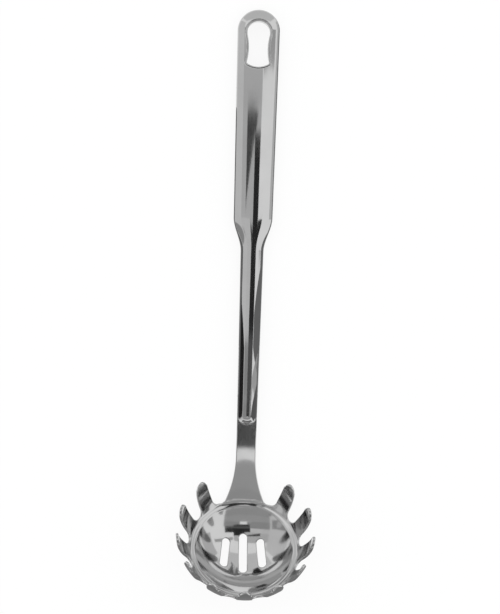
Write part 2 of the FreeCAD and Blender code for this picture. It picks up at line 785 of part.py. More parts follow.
check(pieces)
os.makedirs("parts", exist_ok=True)
for piece in pieces:
    piece.Shape.exportStep(f"parts/{piece.Label}.step")
    extent = piece.Shape.optimalBoundingBox(False, False)
    print(piece.Label, "volume", round(piece.Shape.Volume, 1), "box",
          [round(v, 2) for v in (extent.XMin, extent.YMin, extent.ZMin, extent.XMax, extent.YMax, extent.ZMax)])
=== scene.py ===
"""Looks of the pasta server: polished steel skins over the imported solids, lying face up on a pale floor.

The server's own axes are used for its shape, in millimetres: y = 0 at the crease between neck and bowl,
+Y up the handle, +Z out of the front, and z = 0 at the handle's seam. SHIFT moves them into the frame of
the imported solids.
"""

import math

import bpy
import numpy as np
from mathutils import Matrix, Vector
from mathutils.geometry import delaunay_2d_cdt
from mathutils.kdtree import KDTree


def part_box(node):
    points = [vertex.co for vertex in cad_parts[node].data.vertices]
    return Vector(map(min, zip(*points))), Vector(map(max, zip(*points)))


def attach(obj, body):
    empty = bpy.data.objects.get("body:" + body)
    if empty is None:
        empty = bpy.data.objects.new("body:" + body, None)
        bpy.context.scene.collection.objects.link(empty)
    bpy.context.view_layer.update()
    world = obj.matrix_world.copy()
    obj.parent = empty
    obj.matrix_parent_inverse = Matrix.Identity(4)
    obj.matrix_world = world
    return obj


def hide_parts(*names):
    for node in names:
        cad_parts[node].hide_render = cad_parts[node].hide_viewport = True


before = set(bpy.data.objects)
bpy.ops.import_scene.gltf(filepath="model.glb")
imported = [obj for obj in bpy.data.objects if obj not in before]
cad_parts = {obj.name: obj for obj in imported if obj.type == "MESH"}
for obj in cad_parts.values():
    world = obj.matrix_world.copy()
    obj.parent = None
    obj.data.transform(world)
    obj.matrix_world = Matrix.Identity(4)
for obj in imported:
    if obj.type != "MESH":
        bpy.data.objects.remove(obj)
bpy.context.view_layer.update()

MM = 0.001

# Handle, along its length and across
NECK_LENGTH = 44.5
SHAFT_LENGTH = 99.0
SHOULDER_LENGTH = 19.0
GRIP_LENGTH = 106.0
GRIP_END_HALF = 23.9 / 2
GRIP_SHOULDER_HALF = 22.0 / 2
SHAFT_TOP_HALF = 13.1 / 2
SHAFT_FOOT_HALF = 11.5 / 2
CROWN = 5.0
CROWN_FOOT = 4.4
EDGE = 2.0
NOSE_LENGTH = 5.5
NOSE_LAST = math.sin(math.radians(80.0))
SHELL_WALL = 0.8
NOSE_TIP = NECK_LENGTH
NOSE_START = NOSE_TIP + NOSE_LENGTH
SHOULDER_FOOT = NOSE_TIP + SHAFT_LENGTH
SHOULDER_TOP = SHOULDER_FOOT + SHOULDER_LENGTH
END_CENTRE = SHOULDER_TOP + GRIP_LENGTH

# Hanging hole and its liner
HOLE_TOP_RADIUS = 6.45
HOLE_TOP_DROP = 1.3
HOLE_WAIST_HALF = 10.8 / 2
HOLE_WAIST_DROP = 10.3
HOLE_CORNER_DROP = 18.6
HOLE_SAG = 2.0
HOLE_CORNER_RADIUS = 1.1
LINER_WALL = 1.1
LINER_CLEARANCE = 0.1
LINER_SET_BACK = 0.15
LINER_ROUND = 0.5
HOLE_LOW_POINTS, HOLE_CORNER_POINTS, HOLE_SIDE_POINTS, HOLE_TOP_POINTS = 16, 9, 48, 36

# Neck and tang
SHEET = 1.5
# The skin is a little thinner than the sheet, so that it stays inside the solid
SKIN_SHEET = 1.46
NECK_HALF = 11.2 / 2
NECK_FLARE_START = 27.0
NECK_BEND_START = 34.0
SEAT_END = NECK_LENGTH + 16.0
TANG_END = NECK_LENGTH + 62.0
TANG_HALF = 7.0 / 2

# Bowl, tines and drain slots
BOWL_TILT = math.radians(34.5)
BOWL_RADIUS = 27.0
BOWL_DEPTH = 12.4
RIM_ROUND = 3.0
RIM_FLAT = math.radians(10.0)
TINE_COUNT = 11
TINE_PITCH = math.radians(27.8)
ROOT_RADIUS = 30.6
TIP_RADIUS = 37.4
TINE_RISE = 20.8
TINE_CURL = math.radians(19.0)
TINE_ROOT_HALF = 7.8 / 2
TINE_TIP_HALF = 6.2 / 2
TIP_HALF = 1.04 * TINE_TIP_HALF
TIP_LENGTH = 4.9
TIP_NOSE_RADIUS = 1.9
SLOT_HALF = 4.4 / 2
SLOT_LENGTH = 23.1
SIDE_SLOT_HALF = 4.2 / 2
SIDE_SLOT_LENGTH = 17.0
SIDE_SLOT_OFFSET = 10.2
SIDE_SLOT_FAN = math.radians(5.5)
SLOT_SHIFT = 3.0

# Polished edges of the sheet, and the tiny bevel where the two shells meet
SHEET_EDGE = 0.6
SEAM_EDGE = 0.12
EDGE_STEPS = 5
# Distance between points along and within a sheet's outline, and the clearance of the inner ones from it
SPACING = 0.6
FILL_CLEARANCE = 0.33
# Softness of the crease between neck and bowl
CREASE_SOFTNESS = 0.9

# Server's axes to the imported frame: the round end's top and the seam are where the front shell has them
SHIFT = np.array([
    0.0,
    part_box("handle_front_shell")[1].y / MM - END_CENTRE - GRIP_END_HALF,
    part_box("handle_front_shell")[0].z / MM,
])


def ease(share):
    """Smooth step from 0 to 1."""
    share = np.clip(share, 0.0, 1.0)
    return share * share * (3 - 2 * share)


def mix(start, end, share):
    return start + (end - start) * share


def smooth_max(first, second, softness):
    """The larger of two heights, with the corner between them rounded."""
    blend = np.clip(0.5 + (first - second) / (2 * softness), 0, 1)
    return mix(second, first, blend) + softness * blend * (1 - blend)


def spaced(start, end, step):
    """Even values from start to end, both included, at most a step apart."""
    return np.linspace(start, end, max(2, math.ceil(abs(end - start) / step) + 1))


def arc_by_count(centre, radius, start, end, count):
    """Points along an arc, angles in radians."""
    turns = np.linspace(start, end, count)
    return np.stack([centre[0] + radius * np.cos(turns), centre[1] + radius * np.sin(turns)], 1)


def arc_points(centre, radius, start, end, step):
    """Points along an arc, at most a step apart."""
    return arc_by_count(centre, radius, start, end, max(3, math.ceil(abs(end - start) * radius / step) + 1))


def chain(*runs):
    """One outline from runs of points, without the points that repeat where runs meet."""
    points = np.vstack(runs)
    apart = np.linalg.norm(points - np.roll(points, 1, axis=0), axis=1)
    return points[apart > 1e-4]


def mirrored(points):
    """The same points on the other side of the middle, in the opposite order."""
    return points[::-1] * (-1, 1)


# Sheets: closed meshes between two faces that are laid out flat


def slopes_of(place, flat, step=0.02):
    """How the placed point moves with each of the two flat directions."""
    across = (place(flat + (step, 0)) - place(flat - (step, 0))) / (2 * step)
    along = (place(flat + (0, step)) - place(flat - (0, step))) / (2 * step)
    return across, along


def unit(vectors):
    return vectors / np.maximum(np.linalg.norm(vectors, axis=1, keepdims=True), 1e-12)


def normal_of(place, flat):
    across, along = slopes_of(place, flat)
    return unit(np.cross(across, along))


def steps_inward(place, outline):
    """Flat step and real direction, at each point of an outline, that lead 1 mm into the sheet."""
    across, along = slopes_of(place, outline)
    placed = place(outline)
    ahead = unit(np.roll(placed, -1, axis=0) - np.roll(placed, 1, axis=0))
    inward = unit(np.cross(unit(np.cross(across, along)), ahead))
    aa, ab, bb = (across * across).sum(1), (across * along).sum(1), (along * along).sum(1)
    ga, gb = (across * inward).sum(1), (along * inward).sum(1)
    scale = aa * bb - ab * ab
    return np.stack([(ga * bb - gb * ab) / scale, (gb * aa - ga * ab) / scale], 1), inward


def inside(points, loops):
    """Which points lie in the sheet: an odd number of outline edges lie to their right."""
    odd = np.zeros(len(points), bool)
    x, y = points[:, 0], points[:, 1]
    for outline in loops:
        for (x0, y0), (x1, y1) in zip(outline, np.roll(outline, -1, axis=0)):
            if y0 != y1:
                crosses = (y0 > y) != (y1 > y)
                odd ^= crosses & (x < (x1 - x0) * (y - y0) / (y1 - y0) + x0)
    return odd


def clear_of(points, loops, distance):
    """The points that keep a distance from all outline points."""
    edge = np.vstack(loops)
    tree = KDTree(len(edge))
    for index, (x, y) in enumerate(edge):
        tree.insert((x, y, 0), index)
    tree.balance()
    return points[[tree.find((x, y, 0))[2] > distance for x, y in points]]


def plate(name, upper, lower, loops, fill):
    """Closed mesh of a sheet with rounded edges.

    upper and lower place flat points on its two faces. Each loop is (outline, edge radius) with the sheet
    on its left, and fill holds flat points that lie somewhere within it.
    """
    points, normals, faces = [], [], []
    inner_rings, ring_ends = [], []
    turns = np.linspace(math.pi / 2, 0, EDGE_STEPS + 1)
    count = 0
    for outline, radius in loops:
        step, inward = steps_inward(upper, outline)
        rings = []
        for side in (1, -1):
            for turn in turns[::side]:
                flat = outline + step * radius * (1 - math.cos(turn))
                top, bottom = upper(flat), lower(flat)
                half = (top - bottom) / 2
                depth = np.maximum(np.linalg.norm(half, axis=1, keepdims=True), radius)
                points.append((top + bottom) / 2 + side * half * (1 - radius / depth * (1 - math.sin(turn))))
                facing = normal_of(upper, flat) if side > 0 else -normal_of(lower, flat)
                normals.append(unit(facing * math.sin(turn) - inward * math.cos(turn)))
                rings.append(np.arange(count, count + len(outline)))
                count += len(outline)
        for above, below in zip(rings, rings[1:]):
            quads = np.stack([above, below, np.roll(below, -1), np.roll(above, -1)], 1)
            faces.extend(quads.tolist())
        inner_rings.append(outline + step * radius)
        ring_ends.append((rings[0], rings[-1]))

    fill = clear_of(fill[inside(fill, inner_rings)], inner_rings, FILL_CLEARANCE)
    flat = np.vstack(inner_rings + [fill])
    edges, start = [], 0
    for ring in inner_rings:
        order = np.arange(start, start + len(ring))
        edges.extend(zip(order.tolist(), np.roll(order, -1).tolist()))
        start += len(ring)
    made = delaunay_2d_cdt([Vector(point) for point in flat], edges, [], 0, 1e-6)
    source = np.array([ids[0] for ids in made[3]])
    triangles = source[np.array(made[2])]
    corners = flat[triangles]
    middle = corners.mean(1)
    kept = triangles[inside(middle, inner_rings)]
    turned = np.cross(flat[kept[:, 1]] - flat[kept[:, 0]], flat[kept[:, 2]] - flat[kept[:, 0]]) < 0
    kept[turned] = kept[turned][:, ::-1]

    points += [upper(fill), lower(fill)]
    normals += [normal_of(upper, fill), -normal_of(lower, fill)]
    top = np.concatenate([ends[0] for ends in ring_ends] + [np.arange(count, count + len(fill))])
    count += len(fill)
    bottom = np.concatenate([ends[1] for ends in ring_ends] + [np.arange(count, count + len(fill))])
    faces.extend(top[kept].tolist())
    faces.extend(bottom[kept[:, ::-1]].tolist())
    return solid(name, np.vstack(points), faces, np.vstack(normals))


def solid(name, points, faces, normals):
    """Object from points in the server's axes, with its shading normals."""
    mesh = bpy.data.meshes.new(name)
    mesh.from_pydata(((points + SHIFT) * MM).tolist(), [], faces)
    mesh.shade_smooth()
    mesh.normals_split_custom_set_from_vertices(normals.tolist())
    thing = bpy.data.objects.new(name, mesh)
    bpy.context.scene.collection.objects.link(thing)
    return thing


# Handle


def handle_section(y):
    """Half width, crown height and edge radius of the handle's front at a height on its length."""
    grip = mix(GRIP_SHOULDER_HALF, GRIP_END_HALF, np.clip((y - SHOULDER_TOP) / GRIP_LENGTH, 0, 1))
    along_shaft = np.clip((SHOULDER_FOOT - y) / (SHOULDER_FOOT - NOSE_START), 0, 1)
    shaft = mix(SHAFT_TOP_HALF, SHAFT_FOOT_HALF, along_shaft)
    wide = mix(grip, shaft, ease((SHOULDER_TOP - y) / SHOULDER_LENGTH))
    tall = mix(CROWN, CROWN_FOOT, along_shaft)
    nose = np.clip((NOSE_START - y) / NOSE_LENGTH, 0, NOSE_LAST)
    shrink = np.sqrt(1 - nose ** 2)
    return wide * shrink, tall * shrink, EDGE * shrink


def section_arcs(wide, tall, edge):
    """Reach to the edge arc's centre, radius and length of the crown arc, and its lean at its end."""
    reach = wide - edge
    radius = (tall ** 2 + reach ** 2 - edge ** 2) / (2 * (tall - edge))
    lean = np.arctan2(reach, radius - tall)
    return reach, radius, radius * lean, lean


def dome_point(share, wide, tall, edge):
    """Point of a section. share is the way along it from the crown, at 0, to the seam, at 1."""
    reach, radius, crown, crown_lean = section_arcs(wide, tall, edge)
    run = share * (crown + edge * (math.pi / 2 - crown_lean))
    on_crown = run < crown
    lean = np.where(on_crown, run / radius, crown_lean + (run - crown) / edge)
    x = np.where(on_crown, radius, edge) * np.sin(lean) + np.where(on_crown, 0, reach)
    z = np.where(on_crown, radius, edge) * np.cos(lean) + np.where(on_crown, tall - radius, 0)
    return x, z


def share_at_reach(reach, wide, tall, edge):
    """Share along a section at which its crown lies a distance from the middle."""
    _, radius, crown, crown_lean = section_arcs(wide, tall, edge)
    whole = crown + edge * (math.pi / 2 - crown_lean)
    return radius * np.arcsin(np.clip(reach / radius, -1, 1)) / whole


def share_at_height(height, wide, tall, edge):
    """Share along a section at which it stands a height over the seam."""
    _, radius, crown, crown_lean = section_arcs(wide, tall, edge)
    whole = crown + edge * (math.pi / 2 - crown_lean)
    low = height < edge * np.cos(crown_lean)
    on_edge = crown + edge * (np.arccos(np.clip(height / edge, 0, 1)) - crown_lean)
    on_crown = radius * np.arccos(np.clip((height - tall + radius) / radius, -1, 1))
    return np.where(low, on_edge, on_crown) / whole


def shell_place(front, inset):
    """Placing of the handle's front or back skin, drawn in by an inset. Flat x is across and flat y along."""
    def place(flat):
        x_flat, y = flat[:, 0], flat[:, 1]
        past = np.maximum(y - END_CENTRE, 0)
        wide, tall, edge = handle_section(y)
        radial = np.hypot(x_flat, past)
        shrink = edge / EDGE
        x, z = dome_point(radial / wide, wide - inset * shrink, tall - inset * shrink, edge - inset * shrink)
        around = np.where(radial > 1e-9, radial, 1)
        nose = np.maximum(NOSE_START - y, 0) / NOSE_LENGTH
        y_placed = np.minimum(y, END_CENTRE) + x * past / around + inset * nose
        return np.stack([x * x_flat / around * front, y_placed, z * front], 1)
    return place


def hole_outline(grown):
    """Hourglass of the hanging hole about the centre of the round end, grown outwards, anticlockwise."""
    top = (0.0, -HOLE_TOP_DROP)
    rise = HOLE_WAIST_DROP - HOLE_TOP_DROP
    swell = HOLE_TOP_RADIUS - HOLE_WAIST_HALF
    side_radius = (rise ** 2 + HOLE_WAIST_HALF ** 2 - HOLE_TOP_RADIUS ** 2) / (2 * swell)
    side = (HOLE_WAIST_HALF + side_radius, -HOLE_WAIST_DROP)
    fall = HOLE_CORNER_DROP - HOLE_WAIST_DROP
    corner_x = side[0] - math.sqrt(side_radius ** 2 - fall ** 2)
    low_radius = (corner_x ** 2 + HOLE_SAG ** 2) / (2 * HOLE_SAG)
    low = (0.0, low_radius - HOLE_CORNER_DROP - HOLE_SAG)
    # The corner's own circle touches the side arc from outside it and the lower arc from inside it
    corner_radius = HOLE_CORNER_RADIUS + grown
    to_side, to_low = side_radius + HOLE_CORNER_RADIUS, low_radius - HOLE_CORNER_RADIUS
    gap = math.dist(side, low)
    along = (gap ** 2 + to_side ** 2 - to_low ** 2) / (2 * gap)
    off = math.sqrt(to_side ** 2 - along ** 2)
    ux, uy = (low[0] - side[0]) / gap, (low[1] - side[1]) / gap
    corner = (side[0] + along * ux - off * uy, side[1] + along * uy + off * ux)
    join = math.atan2(side[1] - top[1], side[0] - top[0])
    side_end = math.atan2(corner[1] - side[1], corner[0] - side[0]) % (2 * math.pi)
    low_end = math.atan2(corner[1] - low[1], corner[0] - low[0])
    # Every growth has the same count of points, so that rings of different growth can be joined
    half = np.vstack([
        arc_by_count(low, low_radius + grown, -math.pi / 2, low_end, HOLE_LOW_POINTS),
        arc_by_count(corner, corner_radius, low_end, side_end - math.pi, HOLE_CORNER_POINTS),
        arc_by_count(side, side_radius - grown, side_end, join + math.pi, HOLE_SIDE_POINTS),
        arc_by_count(top, HOLE_TOP_RADIUS + grown, join, math.pi / 2, HOLE_TOP_POINTS),
    ])
    return chain(half, mirrored(half))


def hole_on_flat(outline):
    """Outline about the round end's centre, on the crown, as flat points of the shell."""
    y = outline[:, 1] + END_CENTRE
    past = np.maximum(outline[:, 1], 0)
    section = handle_section(y)
    radial = np.hypot(outline[:, 0], past)
    stretch = share_at_reach(radial, *section) * section[0] / radial
    return np.stack([outline[:, 0] * stretch, np.minimum(y, END_CENTRE) + past * stretch], 1)


def shell_outline():
    """Flat outline of a shell at the seam, anticlockwise. It steps up to the tang's face at its seat."""
    tip_turn = math.asin(NOSE_LAST)
    nose = NOSE_START - NOSE_LENGTH * np.sin(np.linspace(tip_turn, 0, 24))
    seated = np.concatenate([nose, spaced(NOSE_START, SEAT_END, 1.0)])
    section = handle_section(seated)
    share = share_at_height(SHEET / 2, *section)
    low = np.stack([share * section[0], seated], 1)
    free = np.concatenate([
        spaced(SEAT_END, SHOULDER_FOOT, 2.0), spaced(SHOULDER_FOOT, SHOULDER_TOP, 0.7),
        spaced(SHOULDER_TOP, END_CENTRE, 2.0)])
    high = np.stack([handle_section(free)[0], free], 1)
    end = arc_points((0, END_CENTRE), GRIP_END_HALF, 0, math.pi / 2, 0.5)
    right = chain(low, high, end)
    return chain(right, mirrored(right))


def shell_fill():
    """Flat points in rows across the handle, closer together where it curves along its length."""
    rows = np.concatenate([
        spaced(NOSE_TIP, NOSE_START, 0.45), spaced(NOSE_START, SHOULDER_FOOT - 2, 2.0),
        spaced(SHOULDER_FOOT - 2, SHOULDER_TOP + 2, 0.7), spaced(SHOULDER_TOP + 2, END_CENTRE - 24, 2.0),
        spaced(END_CENTRE - 24, END_CENTRE + GRIP_END_HALF, 0.7)])
    columns = np.linspace(-0.985, 0.985, 39)
    wide = handle_section(rows)[0]
    return np.stack([np.outer(wide, columns).ravel(), np.repeat(rows, len(columns))], 1)


def make_shell(name, front):
    """One pressed half of the handle, a shell with the hanging hole through it."""
    hole = hole_on_flat(hole_outline(LINER_WALL + LINER_CLEARANCE))[::-1]
    loops = [(shell_outline(), SEAM_EDGE), (hole, SHELL_WALL / 2)]
    fill = shell_fill()
    if front > 0:
        return plate(name, shell_place(front, 0), shell_place(front, SHELL_WALL), loops, fill)
    return plate(name, shell_place(front, SHELL_WALL), shell_place(front, 0), loops, fill)


def make_liner(name):
    """Sleeve in the hanging hole: its rounded profile carried round the hourglass."""
    _, radius, _, _ = section_arcs(GRIP_END_HALF, CROWN, EDGE)
    beside = HOLE_TOP_RADIUS + LINER_WALL
    rim = CROWN - radius + math.sqrt(radius ** 2 - beside ** 2) - LINER_SET_BACK
    profile = []
    corners = ((LINER_WALL, rim, 0), (0.0, rim, 90), (0.0, -rim, 180), (LINER_WALL, -rim, 270))
    for grown, height, start in corners:
        centre = (abs(grown - LINER_ROUND), math.copysign(rim - LINER_ROUND, height))
        for turn in np.radians(np.linspace(start, start + 90, EDGE_STEPS + 1)):
            out, up = math.cos(turn), math.sin(turn)
            profile.append((centre[0] + LINER_ROUND * out, centre[1] + LINER_ROUND * up, out, up))
    rings, normals = [], []
    for grown, height, out, up in profile:
        outline = hole_outline(grown)
        ahead = unit(np.roll(outline, -1, axis=0) - np.roll(outline, 1, axis=0))
        level = np.full(len(outline), height)
        rings.append(np.column_stack([outline[:, 0], outline[:, 1] + END_CENTRE, level]))
        normals.append(np.column_stack([ahead[:, 1] * out, -ahead[:, 0] * out, np.full(len(outline), up)]))
    count = len(rings[0])
    order = np.arange(len(rings) * count).reshape(len(rings), count)
    after = np.roll(order, -1, axis=0)
    quads = np.stack([order, np.roll(order, -1, axis=1), np.roll(after, -1, axis=1), after], 2).reshape(-1, 4)
    return solid(name, np.vstack(rings), quads.tolist(), np.vstack(normals))


# Head: the bowl and tines are one profile turned about the bowl's axis, and the neck joins it on one side


def head_profile():
    """Arcs of the head's upper face from the bottom of the bowl to a tip: (centre, radius, start, end)."""
    bowl_inside = (BOWL_RADIUS ** 2 + BOWL_DEPTH ** 2) / (2 * BOWL_DEPTH)
    slope = math.asin(BOWL_RADIUS / bowl_inside)
    quarter = math.pi / 2
    bowl = ((0.0, bowl_inside - BOWL_DEPTH), bowl_inside, -quarter, slope - quarter)
    over = (BOWL_RADIUS + RIM_ROUND * math.sin(slope), -RIM_ROUND * math.cos(slope))
    rim = (over, RIM_ROUND, slope + quarter, RIM_FLAT + quarter)
    ledge = (over[0] - RIM_ROUND * math.sin(RIM_FLAT), over[1] + RIM_ROUND * math.cos(RIM_FLAT))
    chord_slope = math.atan2(TINE_RISE, TIP_RADIUS - ROOT_RADIUS)
    root_slope = chord_slope - TINE_CURL
    sweep = (ROOT_RADIUS - ledge[0]) / (math.sin(root_slope) - math.sin(RIM_FLAT))
    sweep_centre = (ledge[0] - sweep * math.sin(RIM_FLAT), ledge[1] + sweep * math.cos(RIM_FLAT))
    root = (sweep_centre, sweep, RIM_FLAT - quarter, root_slope - quarter)
    foot = (ROOT_RADIUS, sweep_centre[1] - sweep * math.cos(root_slope))
    curl = math.hypot(TINE_RISE, TIP_RADIUS - ROOT_RADIUS) / (2 * math.sin(TINE_CURL))
    curl_centre = (foot[0] - curl * math.sin(root_slope), foot[1] + curl * math.cos(root_slope))
    tine = (curl_centre, curl, root_slope - quarter, chord_slope + TINE_CURL - quarter)
    return [bowl, rim, root, tine]


PROFILE = head_profile()
RUNS = np.cumsum([0.0] + [radius * abs(end - start) for _, radius, start, end in PROFILE])
EDGE_RUN, LEDGE_RUN, ROOT_RUN = RUNS[1:4]
BOWL_INSIDE = PROFILE[0][1]
ROOT_HEIGHT = PROFILE[2][0][1] - PROFILE[2][1] * math.sin(-PROFILE[2][3])
TIP_HEIGHT = ROOT_HEIGHT + TINE_RISE


def profile_point(run):
    """Distance from the bowl's axis and height, at a length along the profile from the bottom of the bowl."""
    reach, height = np.zeros_like(run), np.zeros_like(run)
    for index, (centre, radius, start, end) in enumerate(PROFILE):
        last = index == len(PROFILE) - 1
        here = (run >= RUNS[index]) & ((run < RUNS[index + 1]) | last)
        turn = start + (run - RUNS[index]) / radius * math.copysign(1, end - start)
        reach = np.where(here, centre[0] + radius * np.cos(turn), reach)
        height = np.where(here, centre[1] + radius * np.sin(turn), height)
    return reach, height


def tine_run(height):
    """Length along the profile at a height on the tines."""
    centre, radius, start, _ = PROFILE[-1]
    return RUNS[-2] + radius * (np.arcsin(np.clip((height - centre[1]) / radius, -1, 1)) - start)


def bowl_to_server(points):
    """Points in the bowl's own axes, turned by the bowl's tilt and set where its rim meets the neck."""
    cos, sin = math.cos(BOWL_TILT), math.sin(BOWL_TILT)
    ledge = profile_point(np.array([LEDGE_RUN - 1e-9]))
    base_y = -(ledge[0][0] * cos + ledge[1][0] * sin)
    base_z = BOWL_INSIDE + SHEET - CROWN - (BOWL_INSIDE - BOWL_DEPTH) * cos
    x, y, z = points.T
    return np.stack([x, base_y + y * cos + z * sin, base_z - y * sin + z * cos], 1)


NECK_SECTOR = math.pi - TINE_COUNT * TINE_PITCH / 2
GAP_FOOT = bowl_to_server(np.array([[
    ROOT_RADIUS * math.sin(NECK_SECTOR), ROOT_RADIUS * math.cos(NECK_SECTOR), ROOT_HEIGHT]]))[0]
CREASE = bowl_to_server(np.array([[0.0, *[value[0] for value in profile_point(np.array([LEDGE_RUN]))]]]))[0]
NECK_DROP = SHEET / 2 - CREASE[2]
NECK_BEND = (NECK_BEND_START ** 2 + NECK_DROP ** 2) / (2 * NECK_DROP)


def neck_middle(y):
    """Height of the neck's upper face along its middle: straight, then bent down to the crease."""
    run = np.maximum(NECK_BEND_START - y, 0)
    return SHEET / 2 - NECK_BEND + np.sqrt(NECK_BEND ** 2 - run ** 2)


def neck_height(x, y):
    """Height of the neck's upper face, dished towards the bowl so that its sides meet the gaps beside it."""
    low = GAP_FOOT[1] - SHEET
    dish = (GAP_FOOT[2] - neck_middle(GAP_FOOT[1])) / GAP_FOOT[0] ** 2
    return neck_middle(y) + dish * x ** 2 * ease((NECK_BEND_START - y) / (NECK_BEND_START - low))


def neck_line(x):
    """Place along Y, over a place across the neck, of the ring where tines and neck leave the bowl."""
    ring = np.stack([x, np.sqrt(ROOT_RADIUS ** 2 - x ** 2), np.full_like(x, ROOT_HEIGHT)], 1)
    return bowl_to_server(ring)[:, 1]


NECK_STRETCH = ROOT_RADIUS / ROOT_RUN


def head_place(flat):
    """Placing of the head's upper face.

    Flat points are polar about the bowl's bottom, with the length along the profile as their radius.
    On the neck's side, past the root of the tines, they run straight up the neck.
    """
    run = np.hypot(flat[:, 0], flat[:, 1])
    turn = np.arctan2(flat[:, 1], flat[:, 0])
    reach, height = profile_point(run)
    points = bowl_to_server(np.stack([reach * np.cos(turn), reach * np.sin(turn), height], 1))
    away = np.abs((turn - math.pi / 2 + math.pi) % (2 * math.pi) - math.pi)

    # The rim is filled up to the neck's face, which fades out towards the gaps beside the neck
    share = ease((NECK_SECTOR - away) / (0.3 * NECK_SECTOR)) * ease((run - EDGE_RUN) / (LEDGE_RUN - EDGE_RUN))
    filled = smooth_max(points[:, 2], neck_height(points[:, 0], points[:, 1]), CREASE_SOFTNESS)
    points[:, 2] = mix(points[:, 2], filled, share)

    on_neck = (run > ROOT_RUN) & (away < NECK_SECTOR)
    x = np.clip(flat[:, 0] * NECK_STRETCH, -ROOT_RADIUS, ROOT_RADIUS)
    y = neck_line(x) + flat[:, 1] - np.sqrt(np.maximum(ROOT_RUN ** 2 - flat[:, 0] ** 2, 0))
    neck = np.stack([x, y, neck_height(x, y)], 1)
    return np.where(on_neck[:, None], neck, points)


def head_under(flat):
    """Placing of the head's back, a sheet's thickness behind its upper face."""
    return head_place(flat) - SKIN_SHEET * normal_of(head_place, flat)


def neck_on_flat(points):
    """Plan points of the neck as flat points of the head."""
    x_flat = points[:, 0] / NECK_STRETCH
    y_flat = points[:, 1] - neck_line(points[:, 0]) + np.sqrt(ROOT_RUN ** 2 - x_flat ** 2)
    return np.stack([x_flat, y_flat], 1)


def polar_on_flat(run, turn):
    return np.stack([run * np.cos(turn), run * np.sin(turn)], 1)


def gap_half(reach, half_width):
    """Distance from a gap's middle plane to the flank of the tine beside it."""
    return reach * math.sin(TINE_PITCH / 2) - half_width * math.cos(TINE_PITCH / 2)


GAP_RADIUS = gap_half(ROOT_RADIUS, TINE_ROOT_HALF)
GAP_SHOULDER = ROOT_HEIGHT + GAP_RADIUS


def gap_bottom(turn, start, end):
    """Round bottom of the gap at an angle about the bowl, between two angles of its arc."""
    arc = arc_points((0, GAP_SHOULDER), GAP_RADIUS, start, end, 0.35)
    run = tine_run(arc[:, 1])
    reach, _ = profile_point(run)
    return polar_on_flat(run, turn + np.arcsin(arc[:, 0] / reach))


def tip_half(up):
    """Half width of a tine's round tip, at a height over its foot: a small nose between two flatter arcs."""
    nose_up = TIP_LENGTH - TIP_NOSE_RADIUS
    flank = (TIP_HALF ** 2 + nose_up ** 2 - TIP_NOSE_RADIUS ** 2) / (2 * (TIP_HALF - TIP_NOSE_RADIUS))
    meet = math.atan2(nose_up, flank - TIP_HALF)
    on_flank = TIP_HALF - flank + np.sqrt(np.maximum(flank ** 2 - up ** 2, 0))
    on_nose = np.sqrt(np.maximum(TIP_NOSE_RADIUS ** 2 - (up - nose_up) ** 2, 0))
    return np.where(up < flank * math.sin(meet), on_flank, on_nose)


def tine_outline(turn):
    """Both flanks and the round tip of the tine at an angle about the bowl, anticlockwise."""
    foot = TIP_HEIGHT - TIP_LENGTH
    rising = TIP_LENGTH * np.sin(np.linspace(0, math.pi / 2, 22))
    height = np.concatenate([spaced(GAP_SHOULDER, foot, 0.5)[:-1], foot + rising])
    run = tine_run(height)
    reach, _ = profile_point(run)
    widening = (gap_half(TIP_RADIUS, TINE_TIP_HALF) - GAP_RADIUS) / (TIP_HEIGHT - GAP_SHOULDER)
    half = TINE_PITCH / 2 - np.arcsin((GAP_RADIUS + widening * (height - GAP_SHOULDER)) / reach)
    on_tip = height > foot
    half[on_tip] = np.minimum(half, np.arcsin(tip_half(height - foot) / reach))[on_tip]
    going_up = polar_on_flat(run, turn - half)
    coming_down = polar_on_flat(run, turn + half)[::-1]
    return np.vstack([going_up, coming_down])


def head_outline():
    """Outline of the head, anticlockwise: down the neck's left side, round the tines, up its right side."""
    centre = (GAP_FOOT[0], GAP_FOOT[1] + GAP_RADIUS)
    across, along = NECK_HALF - centre[0], NECK_FLARE_START - centre[1]
    flare = (GAP_RADIUS ** 2 - across ** 2 - along ** 2) / (2 * (across + GAP_RADIUS))
    flare_centre = (NECK_HALF + flare, NECK_FLARE_START)
    meet = math.atan2(centre[1] - flare_centre[1], centre[0] - flare_centre[0]) % (2 * math.pi)
    up = chain(
        arc_points(centre, GAP_RADIUS, 1.5 * math.pi, meet, 0.35),
        arc_points(flare_centre, flare, meet, math.pi, SPACING),
        [(NECK_HALF, y) for y in spaced(NECK_FLARE_START, SEAT_END, 1.0)],
        [(TANG_HALF, y) for y in spaced(SEAT_END, TANG_END, 2.0)],
        [(x, TANG_END) for x in spaced(TANG_HALF, 0, 1.0)],
    )
    right = neck_on_flat(up)
    first = math.pi / 2 + NECK_SECTOR
    runs = [mirrored(right), gap_bottom(first, 1.5 * math.pi, 2 * math.pi)]
    for number in range(TINE_COUNT):
        gap = first + number * TINE_PITCH
        runs.append(tine_outline(gap + TINE_PITCH / 2))
        last = number == TINE_COUNT - 1
        runs.append(gap_bottom(gap + TINE_PITCH, math.pi, (1.5 if last else 2) * math.pi))
    return chain(*runs, right)


